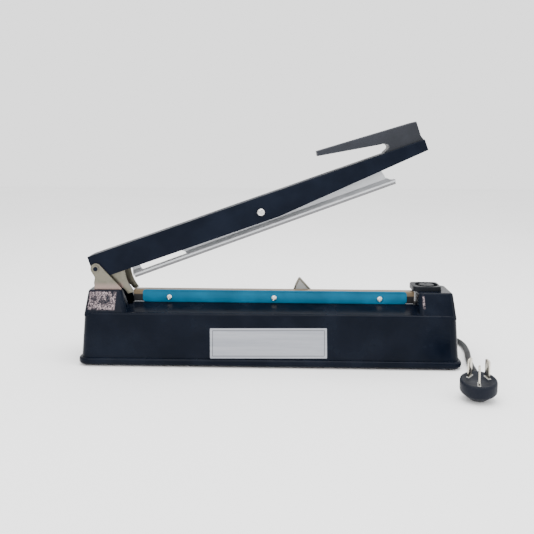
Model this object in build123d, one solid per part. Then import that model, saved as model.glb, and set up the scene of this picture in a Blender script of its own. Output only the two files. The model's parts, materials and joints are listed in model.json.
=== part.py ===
"""Manual impulse heat sealer for 300 mm bags, as an assembly of separate pieces.

Millimetres. +X runs along the base from the hinge to the handle, the front is -Y, +Z is up.
The origin is the centre of the base on the table. The arm stands open, as it rests.
"""
import os
from math import cos, pi, radians, sin, tan

from build123d import *

# Base housing
base_length = 394.0
base_depth = 82.0
bead_height = 7.0
bead_out = 2.6
foot_proud = 1.5
wall_height = 53.5
end_draft = 2.6
side_draft = 3.8
wall = 2.4
body_corner = 9.0
roof_height = 60.0
roof_flat = 9.2
block_height = 75.0
block_depth = 42.0
block_round = 5.0
block_edge = 2.4
left_block_top = 35.0
left_block_foot = 46.5
right_block_top = 35.5
right_block_foot = 38.0
block_lean = 1.4

# Sealing bar and the strips that hold its tape
seal_length = 298.0
seal_shift = 3.7
seal_width = 11.0
seal_bar_height = 11.6
insulation_thickness = 0.6
element_width = 2.6
element_thickness = 0.25
tape_thickness = 0.3
strip_length = 280.0
strip_height = 10.8
strip_thickness = 1.5
strip_rim = 3.0
strip_round = 3.4
strip_screws = 3
strip_screw_pitch = 111.5
strip_screw_height = 5.2

# Hinge and arm
pivot_x = -182.7
pivot_z = 96.5
open_angle = 19.6
pin_radius = 2.5
pin_gap = 0.06
bush_radius = 3.9
spring_wire = 0.8
spring_turns = 9
arm_width = 31.0
arm_sheet = 1.5
arm_tail = 5.0
arm_length = 368.0
arm_top = 14.6
arm_bottom = 11.4
arm_taper_start = 200.0
arm_end_depth = 11.6
ear_sheet = 1.8
ear_gap = 0.4
ear_foot_front = 26.8
ear_foot_back = 1.6
ear_top_radius = 5.6
cheek_sheet = 1.4
toe_reach = 37.0

# Handle
handle_width = 24.0
handle_tip = 258.5
handle_tip_thickness = 5.4
handle_top = 35.2
handle_slot_end = 332.0

# Press bar under the arm
bar_start = 32.2
bar_end = 327.3
bar_flange = 13.0
bar_flange_edge = 1.8
bar_flange_rise = 3.8
bar_web = 2.4
bar_tilt = 0.7
bar_drop = 22.05
bar_screw_at = 183.9
bar_screw_below = 1.1
silicone_width = 9.0
silicone_thickness = 2.8
groove_depth = 1.2
groove_lip = 0.6
bar_window_start = 41.0
bar_window_end = 92.0

# Timer on the right block
timer_left = 146.2
timer_right = 181.4
timer_front = 12.0
timer_back = 16.0
timer_height = 9.0
dish_radius = 12.0
dish_depth = 4.6
knob_radius = 8.5
knob_height = 4.4
knob_flutes = 12
shaft_radius = 3.0
shaft_gap = 0.08

# Switch lever behind the sealing bar
lever_x = 30.6
lever_y = 12.6
lever_width = 6.0
lever_foot = 17.0
lever_peak = 85.4
lever_sheet = 1.6

# Fuse holder, strain relief, cord and plug
fuse_radius = 6.0
fuse_out = 4.6
fuse_height = 30.5
relief_x = 165.0
relief_height = 24.0
relief_length = 26.0
relief_flange = 6.4
cord_diameter = 6.0
coil_x = 118.0
coil_y = 106.0
coil_radius = 33.0
coil_height = 12.4
coil_band = 18.6
plug_x = 186.0
plug_y = -116.5
plug_radius = 16.5
plug_height = 15.0
plug_turn = 62.0
plug_tail = 12.0
blade_length = 18.0
blade_thickness = 1.6
blade_width = 6.3

# Label on the front face
label_length = 119.5
label_height = 30.6
label_x = -0.4
label_z = 25.0
label_thickness = 0.4
label_tilt = 0.7

# Screws, feet and gaps
small_screw = 3.1
arm_screw = 4.2
foot_radius = 7.0
clearance = 0.3

# Places that follow from the sizes above
half_length = base_length / 2
half_depth = base_depth / 2
body_half_length = half_length - bead_out
body_half_depth = half_depth - bead_out
rim_half_length = body_half_length - end_draft
rim_half_depth = body_half_depth - side_draft
ceiling = roof_height - 9.0
plateau = block_height
seal_left = seal_shift - seal_length / 2
seal_right = seal_shift + seal_length / 2
seal_top = roof_height + seal_bar_height + insulation_thickness + element_thickness + tape_thickness
strip_y = seal_width / 2 + tape_thickness
pin_bore = pin_radius + pin_gap
arm_inner = arm_width / 2 - arm_sheet
ear_inner = arm_width / 2 + ear_gap
ear_outer = ear_inner + ear_sheet
pocket_half = arm_inner + clearance
pocket_left = pivot_x + 7.0
pocket_floor = roof_height - 5.0
timer_x = (timer_left + timer_right) / 2 + 3.0
timer_y = (timer_back - timer_front) / 2
timer_top = plateau + timer_height
cord_radius = cord_diameter / 2


def prism_x(points, x_low, x_high):
    """Extrude a (y, z) outline along X."""
    outline = make_face(Polyline(*points, close=True))
    return extrude(Plane.YZ.offset(x_low) * outline, amount=x_high - x_low)


def prism_y(points, y_low, y_high):
    """Extrude an (x, z) outline along Y."""
    outline = make_face(Polyline(*points, close=True))
    return extrude(Plane.XZ.offset(-y_high) * outline, amount=y_high - y_low)


def block(x_low, x_high, y_low, y_high, z_low, z_high):
    """A straight-sided block between two corners."""
    centre = ((x_low + x_high) / 2, (y_low + y_high) / 2, (z_low + z_high) / 2)
    return Pos(*centre) * Box(x_high - x_low, y_high - y_low, z_high - z_low)


def rod_y(x, z, y_low, y_high, radius):
    """A round bar along Y."""
    return Pos(x, (y_low + y_high) / 2, z) * Rot(90, 0, 0) * Cylinder(radius, y_high - y_low)


def rod_z(x, y, z_low, z_high, radius):
    """A round bar along Z."""
    return Pos(x, y, (z_low + z_high) / 2) * Cylinder(radius, z_high - z_low)


def rounded_loft(low, high, z_low, z_high, corner):
    """Loft between two rounded rectangles, each given as (x0, x1, y0, y1)."""
    faces = []
    for (x_low, x_high, y_low, y_high), z in ((low, z_low), (high, z_high)):
        centre = Pos((x_low + x_high) / 2, (y_low + y_high) / 2, z)
        faces.append(centre * RectangleRounded(x_high - x_low, y_high - y_low, corner))
    return loft(faces)


def top_edges(solid):
    """The edges round a solid's highest flat face."""
    return solid.faces().sort_by(Axis.Z)[-1].edges()


def end_block(x_low_foot, x_high_foot, x_low_top, x_high_top):
    """One raised end of the housing: tapered walls and a softly rounded top."""
    low = (x_low_foot, x_high_foot, -rim_half_depth, rim_half_depth)
    high = (x_low_top, x_high_top, -block_depth / 2, block_depth / 2)
    raised = rounded_loft(low, high, wall_height - 3, plateau, block_round)
    return fillet(top_edges(raised), block_edge)


def base_housing():
    """Moulded housing: foot bead, drafted walls, sloping roof and two raised ends."""
    z_low = foot_proud
    foot = (-body_half_length, body_half_length, -body_half_depth, body_half_depth)
    rim = (-rim_half_length, rim_half_length, -rim_half_depth, rim_half_depth)
    walls = rounded_loft(foot, rim, z_low, wall_height + 1, body_corner)
    walls = fillet(top_edges(walls), block_edge)
    bead = Pos(0, 0, z_low) * extrude(
        RectangleRounded(base_length, base_depth, body_corner + bead_out), amount=bead_height)
    bead = fillet(bead.faces().filter_by(Axis.Z).edges(), bead_out - 0.2)
    roof_rim = rim_half_depth - 1.4
    roof = prism_x(
        [(-roof_rim, wall_height - 4), (-roof_rim, wall_height + 0.6), (-roof_flat, roof_height),
         (roof_flat, roof_height), (roof_rim, wall_height + 0.6), (roof_rim, wall_height - 4)],
        -rim_half_length + body_corner, rim_half_length - body_corner)
    outer = rim_half_length - block_lean
    left = end_block(-rim_half_length, -rim_half_length + left_block_foot,
                     -outer, -outer + left_block_top)
    right = end_block(rim_half_length - right_block_foot, rim_half_length,
                      outer - right_block_top, outer)
    shell = walls + bead + roof + left + right

    inner_foot = tuple(v - wall if v > 0 else v + wall for v in foot)
    inner_rim = tuple(v - wall if v > 0 else v + wall for v in rim)
    cavity = rounded_loft(inner_foot, inner_rim, z_low - 0.01, ceiling, body_corner - wall)
    shell -= cavity
    pocket_right = seal_left + 0.5
    shell -= block(pocket_left, pocket_right, -pocket_half, pocket_half, pocket_floor, plateau + 1)
    pot_room = 12.0
    shell -= block(timer_x - pot_room, timer_x + pot_room, timer_y - pot_room, timer_y + pot_room,
                   ceiling - 1, plateau - 5)
    shell -= rod_z(timer_x, timer_y, ceiling, plateau + 1, 5.0)
    shell -= block(lever_x - 4.2, lever_x + 4.2, lever_y - 1.6, lever_y + 1.6, ceiling - 1, roof_height)
    shell -= Pos(half_length - 5, 0, fuse_height) * Rot(0, 90, 0) * Cylinder(fuse_radius - 1, 20)
    shell -= rod_y(relief_x, relief_height, half_depth - 12, half_depth + 4, cord_radius + 2)
    for x in bracket_screw_places():
        for side in (-1, 1):
            shell -= rod_z(x, side * bracket_screw_y(), plateau - 9, plateau + 1, small_screw / 2)
    return shell


def bottom_plate():
    """Sheet that closes the housing, set just inside its walls."""
    gap = wall + clearance
    plate = extrude(RectangleRounded(2 * (body_half_length - gap), 2 * (body_half_depth - gap),
                                     body_corner - wall), amount=1.2)
    return Pos(0, 0, foot_proud) * plate


def foot_places():
    """Centres of the four rubber feet."""
    return [(sx * (body_half_length - 24), sy * (body_half_depth - 15))
            for sx in (-1, 1) for sy in (-1, 1)]


def rubber_feet():
    """Four domed feet under the bottom plate."""
    feet = []
    for x, y in foot_places():
        pad = Pos(x, y, foot_proud / 2) * Cylinder(foot_radius, foot_proud)
        feet.append(pad)
    return Compound(feet)


def bottom_screws():
    """Screws that hold the bottom plate to posts in the housing."""
    screws = []
    for x in (-120.0, 0.0, 120.0):
        for side in (-1, 1):
            y = side * (body_half_depth - 10)
            head = rod_z(x, y, foot_proud - 1.0, foot_proud, small_screw)
            screws.append(head)
    return Compound(screws)


def bracket_screw_y():
    """Distance of the hinge bracket's screws from the middle."""
    return 8.0


def bracket_screw_places():
    """X of the screws through the hinge bracket's foot."""
    return [pocket_left - 4.2]


def hinge_bracket():
    """Zinc-plated bracket: a foot on the left block and two ears that carry the pin."""
    left = pivot_x - ear_foot_back + 0.4
    right = pivot_x + ear_foot_front
    foot = block(pocket_left - 8.6, pocket_left - clearance, -ear_outer, ear_outer,
                 plateau, plateau + ear_sheet)
    ear_outline = [
        (left, plateau), (right, plateau), (right, plateau + 1.4),
        (pivot_x + ear_top_radius * 0.72, pivot_z + ear_top_radius * 0.7),
        (pivot_x - ear_top_radius * 0.9, pivot_z - ear_top_radius * 0.45),
        (left + 0.2, plateau + 12.5), (left - 0.8, plateau + 7)]
    bracket = foot
    for y_low in (-ear_outer, ear_inner):
        ear = prism_y(ear_outline, y_low, y_low + ear_sheet)
        ear += rod_y(pivot_x, pivot_z, y_low, y_low + ear_sheet, ear_top_radius)
        bracket += ear
    bracket -= rod_y(pivot_x, pivot_z, -30, 30, pin_radius + 0.02)
    for x in bracket_screw_places():
        for side in (-1, 1):
            bracket -= rod_z(x, side * bracket_screw_y(), plateau - 1, plateau + 5, small_screw / 2 + 0.1)
    return bracket


def hinge_pin():
    """Pin riveted over in both ears."""
    head = 1.2
    pin = rod_y(pivot_x, pivot_z, -ear_outer, ear_outer, pin_radius)
    for side in (-1, 1):
        low = side * (ear_outer + head / 2) - head / 2
        rivet = rod_y(pivot_x, pivot_z, low, low + head, pin_radius + 1.1)
        pin += rivet
    return pin


def pan_screw(shank, head_radius, head_height, length, slot=True):
    """A pan-head screw standing on z = 0 with its shank below."""
    head = Pos(0, 0, head_height / 2) * Cylinder(head_radius, head_height)
    head = chamfer(top_edges(head), head_height * 0.4)
    if slot:
        for turn in (0, 90):
            head -= Pos(0, 0, head_height) * Rot(0, 0, turn) * Box(head_radius * 1.1, 0.8, head_height)
    return head + Pos(0, 0, -length / 2) * Cylinder(shank, length)


def bracket_screws():
    """Screws that hold the hinge bracket down on the block."""
    screws = []
    for x in bracket_screw_places():
        for side in (-1, 1):
            screw = pan_screw(small_screw / 2 - 0.1, small_screw, 1.9, 8)
            screws.append(Pos(x, side * bracket_screw_y(), plateau + ear_sheet) * screw)
    return Compound(screws)


def seal_bar():
    """Aluminium bar on the roof, under the heating element."""
    bar = block(seal_left + 1, seal_right - 1, -seal_width / 2, seal_width / 2,
                roof_height, roof_height + seal_bar_height)
    for x in strip_screw_places():
        bar -= rod_y(x, roof_height + strip_screw_height, -20, 20, small_screw / 2)
    return bar


def insulating_strip():
    """Glass-cloth strip between the bar and the element."""
    low = roof_height + seal_bar_height
    return block(seal_left + 2, seal_right - 2, -seal_width / 2 + 1, seal_width / 2 - 1,
                 low, low + insulation_thickness)


def heating_element():
    """Flat resistance ribbon that makes the seal."""
    low = roof_height + seal_bar_height + insulation_thickness
    return block(seal_left + 1.5, seal_right - 1.5, -element_width / 2, element_width / 2,
                 low, low + element_thickness)


def ptfe_tape():
    """Non-stick cloth folded over the bar and down both sides."""
    outer = seal_width / 2 + tape_thickness
    low = roof_height + 0.4
    cover = block(seal_left, seal_right, -outer, outer, low, seal_top)
    inside = seal_width / 2
    cover -= block(seal_left - 1, seal_right + 1, -inside, inside, low - 1, seal_top - tape_thickness)
    for x in strip_screw_places():
        cover -= rod_y(x, roof_height + strip_screw_height, -20, 20, small_screw / 2)
    return cover


def strip_screw_places():
    """X of the retaining strips' screws."""
    middle = (strip_screws - 1) / 2
    return [seal_shift + 1.0 + (i - middle) * strip_screw_pitch for i in range(strip_screws)]


def retaining_strip(side):
    """Coloured strip whose top is bent in over the tape; side is -1 for the front."""
    inner = strip_y
    outer = strip_y + strip_thickness
    low = roof_height + 0.4
    bend = low + strip_height - strip_rim
    top = low + strip_height
    lean = strip_thickness * 0.55
    outline = [(inner, low), (outer, low), (outer, bend), (outer - lean, top), (inner, top)]
    middle = seal_shift + 1.0
    strip = prism_x([(side * y, z) for y, z in outline],
                    middle - strip_length / 2, middle + strip_length / 2)
    lower = [e for e in strip.edges().filter_by(Axis.Y) if e.center().Z < low + 1]
    strip = fillet(lower, strip_round)
    for x in strip_screw_places():
        strip -= rod_y(x, roof_height + strip_screw_height, -20, 20, small_screw / 2)
    return strip


def strip_screw_set(side):
    """Three pan-head screws through one retaining strip into the bar."""
    screws = []
    for x in strip_screw_places():
        screw = pan_screw(small_screw / 2 - 0.08, small_screw, 2.0, 5.0)
        place = Pos(x, side * (strip_y + strip_thickness), roof_height + strip_screw_height)
        screws.append(place * Rot(-90 * side, 0, 0) * screw)
    return Compound(screws)


def timer_housing():
    """Raised moulding on the right block with a dish round the timer knob."""
    body = block(timer_left, timer_right, -timer_front, timer_back, plateau, timer_top)
    body = fillet(body.edges().filter_by(Axis.Z), 1.6)
    body = fillet(top_edges(body), 0.7)
    body -= rod_z(timer_x, timer_y, timer_top - dish_depth, timer_top + 1, dish_radius)
    body -= rod_z(timer_x, timer_y, plateau - 1, timer_top, shaft_radius + 0.4)
    return body


def timer_knob():
    """Fluted knob sunk in the dish, with a pointer ridge."""
    low = timer_top - dish_depth + clearance
    knob = rod_z(timer_x, timer_y, low, low + knob_height, knob_radius)
    knob = chamfer(top_edges(knob), 0.7)
    for i in range(knob_flutes):
        angle = 2 * pi * i / knob_flutes
        reach = knob_radius + 0.5
        knob -= rod_z(timer_x + reach * cos(angle), timer_y + reach * sin(angle), low - 1, low + 9, 1.0)
    knob += block(timer_x - 0.7, timer_x + 0.7, timer_y, timer_y + knob_radius - 1.2,
                  low + knob_height - 0.5, low + knob_height + 0.6)
    bore = rod_z(timer_x, timer_y, low - 1, low + knob_height - 1.2, shaft_radius + shaft_gap)
    return knob - bore


def timer_pot():
    """Rotary control under the knob, clamped in the block."""
    body = rod_z(timer_x, timer_y, ceiling + 4, plateau - 5.2, 9.5)
    bush = rod_z(timer_x, timer_y, plateau - 5.5, plateau - 0.2, 4.6)
    top = timer_top - dish_depth + knob_height - 1.2
    shaft = rod_z(timer_x, timer_y, plateau - 1, top, shaft_radius)
    return body + bush + shaft


def lever_outline(height, half_foot, low):
    """An upright triangle with a narrow flat peak."""
    return [(lever_x - half_foot, low), (lever_x - 1.1, height), (lever_x + 1.1, height),
            (lever_x + half_foot, low)]


def switch_lever():
    """Bent steel lever behind the sealing bar that the closing arm presses down."""
    low = roof_height + 1.9
    grow = (lever_peak - low) / (lever_peak - seal_top)
    outer = lever_outline(lever_peak, lever_foot / 2 * grow, low)
    y_low = lever_y - lever_width / 2
    y_high = lever_y + lever_width / 2
    bent = prism_y(outer, y_low, y_high)
    inner = lever_outline(lever_peak - lever_sheet * 1.6, lever_foot / 2 * grow - lever_sheet * 1.3,
                          low + lever_sheet)
    bent -= prism_y(inner, y_low - 1, y_high + 1)
    stem = block(lever_x - 3.6, lever_x + 3.6, lever_y - 1.2, lever_y + 1.2, ceiling - 6, low + 0.5)
    return bent + stem


def switch_cam():
    """Grey moulded core held inside the bent lever."""
    low = roof_height + 1.9
    grow = (lever_peak - low) / (lever_peak - seal_top)
    core = lever_outline(lever_peak - lever_sheet * 1.6, lever_foot / 2 * grow - lever_sheet * 1.3,
                         low + lever_sheet)
    return prism_y(core, lever_y - lever_width / 2 + 1, lever_y + lever_width / 2 - 1)


def micro_switch():
    """Switch body under the lever's stem, hung from the roof's underside."""
    top = ceiling - 8.2
    body = block(lever_x - 10, lever_x + 10, lever_y - 3.2, lever_y + 3.2, top - 10.5, top)
    wing = block(lever_x - 10, lever_x - 6, lever_y - 3.2, lever_y + 3.2, top - 0.1, ceiling)
    return body + wing


def transformer():
    """Laminated core with its winding, standing on the bottom plate."""
    low = foot_proud + 1.2
    core = block(-36, 36, -27, 27, low, low + 22)
    windows = block(-24, -12, -30, 30, low + 5, low + 17) + block(12, 24, -30, 30, low + 5, low + 17)
    winding = block(-23.6, 23.6, -31, 31, low + 5.4, low + 16.6)
    return core - windows + winding


def timer_board():
    """Circuit board for the timer, on two posts above the bottom plate."""
    low = foot_proud + 1.2
    board = block(70, 130, -22, 22, low + 8, low + 9.6)
    posts = [block(x - 2, x + 2, y - 2, y + 2, low, low + 8) for x in (74, 126) for y in (-18, 18)]
    parts = block(80, 96, -12, 6, low + 9.6, low + 20) + block(104, 118, -6, 10, low + 9.6, low + 16)
    for post in posts:
        board += post
    return board + parts


def fuse_holder():
    """Screw cap and barrel of the fuse in the right end wall."""
    face = body_half_length - end_draft * (fuse_height - foot_proud) / (wall_height - foot_proud)
    barrel = Pos(face - 9, 0, fuse_height) * Rot(0, 90, 0) * Cylinder(fuse_radius - 1.1, 19)
    cap = Pos(face + fuse_out / 2 + 0.34, 0, fuse_height) * Rot(0, 90, 0) * Cylinder(fuse_radius, fuse_out)
    cap = chamfer(cap.faces().sort_by(Axis.X)[-1].edges(), 1.0)
    return cap + barrel


def rear_face_y(z):
    """Y of the rear wall's outside at a height."""
    return body_half_depth - side_draft * (z - foot_proud) / (wall_height + 1 - foot_proud)


def strain_relief():
    """Tapered rubber sleeve where the cord leaves the rear wall."""
    face = rear_face_y(relief_height)
    seat = relief_flange * side_draft / wall_height + 0.05
    flange = Pos(0, 0, seat + 1.0) * Cylinder(relief_flange, 2.0)
    taper_start = seat + 2.0
    taper = Pos(0, 0, (taper_start + relief_length) / 2) * Cone(
        cord_radius + 2.0, cord_radius + 0.9, relief_length - taper_start)
    neck = Pos(0, 0, -2.0) * Cylinder(cord_radius + 1.8, 6.0)
    return Pos(relief_x, face, relief_height) * Rot(-90, 0, 0) * (flange + taper + neck)


def cord_tube(points, name):
    """A round cord along straight runs joined by the largest arcs that fit them."""
    corners = []
    vectors = [Vector(*p) for p in points]
    for before, here, after in zip(vectors, vectors[1:], vectors[2:]):
        turn = radians((here - before).get_angle(after - here))
        shorter = min((here - before).length, (after - here).length)
        corners.append(0.45 * shorter / tan(turn / 2))
    path = FilletPolyline(*points, radius=corners)
    start = Plane(origin=path @ 0, z_dir=path % 0)
    tube = sweep(start * Circle(cord_radius), path=path)
    share = tube.volume / (pi * cord_radius ** 2 * path.length)
    print(name, "radii", [round(r, 1) for r in corners], "length", round(path.length, 1),
          "volume share", round(share, 4))
    return tube


def cord_lead_in():
    """Cord from the strain relief down to the coil."""
    start = rear_face_y(relief_height) + relief_length
    tube = cord_tube([
        (relief_x, start, relief_height), (relief_x, start + 14.6, relief_height),
        (162, 93, 18.5), (156, 107, 8.6)], "cord_lead_in")
    return outside_coil(tube)


def outside_coil(tube):
    """The stretch of a cord that isn't already part of the coil."""
    return (tube - cord_coil()).solids().sort_by(SortBy.VOLUME)[-1]


def plug_tail_end(beyond=0.0):
    """A point on the axis of the plug's tail, from the tail's end outwards."""
    reach = plug_radius + plug_tail + beyond
    turn = radians(plug_turn)
    return (plug_x + reach * cos(turn), plug_y + reach * sin(turn))


def cord_lead_out():
    """Cord from the coil, round the right end and along the floor to the plug."""
    floor = cord_radius + 0.1
    points = [
        (122, 73), (142, 72), (165, 74.2), (190.7, 78.6), (214.3, 67.6), (228, 45.6), (226, 19.6),
        (214.5, -4.5), (210.5, -30.4), (212.3, -55), plug_tail_end(18.0), plug_tail_end()]
    return outside_coil(cord_tube([(x, y, floor) for x, y in points], "cord_lead_out"))


def cord_coil():
    """Outer shape of the neat coil that lies behind the base."""
    ring = Cylinder(coil_radius + coil_band / 2, coil_height)
    ring -= Cylinder(coil_radius - coil_band / 2, coil_height + 2)
    ring = chamfer(ring.faces().filter_by(Axis.Z).edges(), 2.2)
    return Pos(coil_x, coil_y, coil_height / 2) * ring


def plug_body():
    """Moulded round plug lying on its back, with a short tail for the cord."""
    face_height = plug_height - 0.2
    body = Cone(plug_radius - 3.2, plug_radius, 5.0, align=(Align.CENTER, Align.CENTER, Align.MIN))
    body += Pos(0, 0, 5) * Cylinder(plug_radius, face_height - 5,
                                    align=(Align.CENTER, Align.CENTER, Align.MIN))
    body = chamfer(top_edges(body), 1.0)
    tail = Pos(plug_radius - 4 + (plug_tail + 4) / 2, 0, cord_radius + 1.3) * Rot(0, 90, 0) * Cone(
        4.6, 3.9, plug_tail + 4)
    body += tail
    body = Pos(plug_x, plug_y, 0.1) * Rot(0, 0, plug_turn) * body
    for x, y, turn in blade_places():
        slot = Pos(x, y, face_height) * Rot(0, 0, turn) * Box(blade_width, blade_thickness, 14)
        body -= slot
    return body


def blade_places():
    """Place and turn of the three flat pins."""
    return [(plug_x - 7.0, plug_y + 5.0, 62.0), (plug_x + 7.4, plug_y + 3.4, -58.0),
            (plug_x - 1.4, plug_y - 7.6, 0.0)]


def plug_blades():
    """Three flat pins standing up out of the plug's face."""
    blades = []
    for x, y, turn in blade_places():
        blade = Box(blade_width - 0.02, blade_thickness - 0.02, blade_length + 6.5)
        blade = chamfer(top_edges(blade), 0.6)
        low = plug_height - 6.6
        blades.append(Pos(x, y, low + (blade_length + 6.5) / 2) * Rot(0, 0, turn) * blade)
    return Compound(blades)


def label_plate():
    """Blank metal label on the front wall."""
    z_span = wall_height + 1 - foot_proud
    lean = side_draft / z_span
    y = -(body_half_depth - side_draft * (label_z - foot_proud) / z_span)
    plate = Box(label_length, label_height, label_thickness)
    plate = fillet(plate.edges().filter_by(Axis.Z), 0.8)
    tilt = 90 - lean * 180 / pi
    place = Pos(label_x, y - label_thickness / 2 - 0.02, label_z) * Rot(tilt, 0, 0)
    return place * Rot(0, 0, label_tilt) * plate


def on_arm(piece):
    """Move a piece drawn along the arm, pivot at its origin, to the open arm."""
    return Pos(pivot_x, 0, pivot_z) * Rot(0, -open_angle, 0) * piece


def arm_outline(inset_top, extra_low):
    """Side view of the arm: straight back, belly tapering towards the handle."""
    end_low = arm_top - arm_end_depth
    return [(-arm_tail, arm_top - inset_top), (arm_length, arm_top - inset_top),
            (arm_length, end_low - extra_low), (arm_taper_start, -arm_bottom - extra_low),
            (-arm_tail, -arm_bottom - extra_low)]


def arm_channel():
    """Folded sheet channel, open below, with a closed end under the handle."""
    half = arm_width / 2
    channel = prism_y(arm_outline(0, 0), -half, half)
    channel = fillet([e for e in channel.edges().filter_by(lambda e: abs(e.center().Z - arm_top) < 0.01)
                      if abs(e.center().Y) > half - 0.1], 1.2)
    hollow = prism_y(arm_outline(arm_sheet, 30), -half + arm_sheet, half - arm_sheet)
    hollow &= block(-arm_tail - 1, arm_length - arm_sheet, -half, half, -60, 60)
    channel -= hollow
    channel -= rod_y(0, 0, -30, 30, pin_bore)
    channel -= rod_y(bar_screw_at, -bar_screw_below, -30, 30, arm_screw / 2 + 0.05)
    for u in rivet_places():
        channel -= rod_z(u, 0, arm_top - 5, arm_top + 5, small_screw / 2)
    return on_arm(channel)


def rivet_places():
    """Where the handle's screws pass the arm's back."""
    return [handle_slot_end + 10, arm_length - 9]


def arm_bracket():
    """Plated U-bracket inside the arm's root with two flared toes."""
    outline = [(-3.5, -8), (-3.5, 8), (33.5, 11.0), (31.6, -9), (30.4, -20), (29.4, -28),
               (31.4, -toe_reach), (25, -toe_reach), (10.5, -20)]
    bracket = prism_y(outline, arm_inner - cheek_sheet, arm_inner)
    bracket += prism_y(outline, -arm_inner, -arm_inner + cheek_sheet)
    bracket += prism_y([(6, 8.5), (33.4, 9.8), (33.5, 11.0), (6, 8.5 + cheek_sheet)],
                       -arm_inner, arm_inner)
    bracket -= rod_y(0, 0, -30, 30, pin_bore)
    return on_arm(bracket)


def pivot_bush():
    """Steel tube on the pin that keeps the bracket's cheeks apart."""
    half = arm_inner - cheek_sheet - 0.1
    tube = rod_y(0, 0, -half, half, bush_radius) - rod_y(0, 0, -30, 30, pin_bore)
    return on_arm(tube)


def return_spring():
    """Torsion spring round the bush that lifts the arm, as a ridged sleeve with one leg."""
    inner = bush_radius + 0.25
    outer = inner + 2 * spring_wire
    start = -spring_turns * spring_wire
    outline = [(inner, start)]
    for i in range(spring_turns):
        low = start + 2 * i * spring_wire
        outline += [(inner + spring_wire, low), (outer, low + spring_wire)]
    outline += [(inner + spring_wire, -start), (inner, -start)]
    coils = revolve(make_face(Polyline(*outline, close=True)), Axis.Y)
    leg = Pos(14, start + spring_wire, -(inner + spring_wire)) * Rot(0, 90, 0) * Cylinder(
        spring_wire * 0.9, 24)
    return on_arm(coils + leg)


def handle_grip():
    """Moulded hook handle on the end of the arm, pointing back to the hinge."""
    tip_low = handle_top + 4.8 - handle_tip_thickness
    outline = [
        (handle_tip, tip_low), (handle_tip + 0.8, handle_top + 4.8), (handle_tip + 104, handle_top),
        (arm_length - 1.6, handle_top - 0.4), (arm_length - 2.0, arm_top + 4.5),
        (arm_length - 0.4, arm_top), (handle_slot_end - 7, arm_top),
        (handle_slot_end - 6.5, arm_top + 0.9), (handle_slot_end - 1.4, arm_top + 3.0),
        (handle_slot_end, arm_top + 5.0), (handle_slot_end - 0.8, arm_top + 7.6),
        (handle_slot_end - 4, arm_top + 9.6), (handle_slot_end - 9, arm_top + 9.9)]
    half = handle_width / 2
    grip = prism_y(outline, -half, half)
    for u in rivet_places():
        grip -= rod_z(u, 0, arm_top - 1, arm_top + 8, small_screw / 2)
    long_edges = [e for e in grip.edges().filter_by(lambda e: abs(e.center().Z - handle_top) < 3.5)
                  if abs(e.center().Y) > half - 0.1 and e.length > 40]
    grip = fillet(long_edges, 1.4)
    return on_arm(grip)


def handle_screws():
    """Screws from inside the arm into the handle."""
    screws = []
    for u in rivet_places():
        screw = pan_screw(small_screw / 2 - 0.08, small_screw, 1.6, 9.0, slot=False)
        screws.append(Pos(u, 0, arm_top - arm_sheet) * Rot(180, 0, 0) * screw)
    return on_arm(Compound(screws))


def on_bar(piece):
    """Tilt a piece drawn level under the arm about the press bar's screw."""
    place = Pos(bar_screw_at, 0, -bar_screw_below)
    back = Pos(-bar_screw_at, 0, bar_screw_below)
    return on_arm(place * Rot(0, -bar_tilt, 0) * back * piece)


def press_bar():
    """Aluminium section with a ridged flange and a web, cut away near the hinge."""
    low = -bar_drop + silicone_thickness
    edge = low + bar_flange_edge
    ridge = edge + bar_flange_rise
    web_top = -bar_screw_below + 6.5
    half = bar_flange / 2
    web = bar_web / 2
    bar = prism_x([(-half, low), (half, low), (half, edge), (web, ridge), (web, web_top),
                   (-web, web_top), (-web, ridge), (-half, edge)], bar_start, bar_end)
    beyond = bar_end + 1
    bar -= prism_y([(beyond, web_top + 1), (bar_end - 12, web_top + 1), (bar_end - 11.2, web_top - 4),
                    (bar_end - 8.4, ridge + 1.4), (bar_end - 4.4, edge + 1.6), (bar_end - 1.6, edge + 0.4),
                    (beyond, edge + 0.4)], -half, half)
    bar -= prism_y([(bar_start - 1, web_top - 4), (bar_start + 6, web_top + 1),
                    (bar_start - 1, web_top + 1)], -half, half)
    window_low = edge + 0.7
    bar -= prism_y([(bar_window_start, window_low), (bar_window_start, web_top - 2.2),
                    (bar_window_end - 24, web_top - 2.2), (bar_window_end, ridge),
                    (bar_window_end + 2, window_low)], -half, half)
    groove = silicone_width / 2 - groove_lip
    bar -= block(bar_start - 1, bar_end + 1, -groove, groove, low - 1, low + groove_depth)
    bar -= rod_y(bar_screw_at, -bar_screw_below, -30, 30, arm_screw / 2 + 0.05)
    return on_bar(bar)


def silicone_strip():
    """Soft strip in the press bar's groove that backs the seal."""
    top = -bar_drop + silicone_thickness
    half = silicone_width / 2
    tongue = half - groove_lip - 0.05
    strip = block(bar_start + 0.5, bar_end - 0.5, -half, half, -bar_drop, top)
    strip += block(bar_start + 0.5, bar_end - 0.5, -tongue, tongue, top - 0.5, top + groove_depth - 0.05)
    return on_bar(strip)


def bar_screw():
    """Cross-head screw through the arm that the press bar rocks on."""
    half = arm_width / 2
    screw = pan_screw(arm_screw / 2, arm_screw, 2.2, arm_width + 3.2)
    return on_arm(Pos(bar_screw_at, -half, -bar_screw_below) * Rot(90, 0, 0) * screw)


def bar_nut():
    """Hexagon nut on the back of the arm."""
    nut = extrude(RegularPolygon(arm_screw, 6), amount=3.0)
    nut -= Cylinder(arm_screw / 2 + 0.03, 20)
    return on_arm(Pos(bar_screw_at, arm_width / 2, -bar_screw_below) * Rot(-90, 0, 0) * nut)


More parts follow.
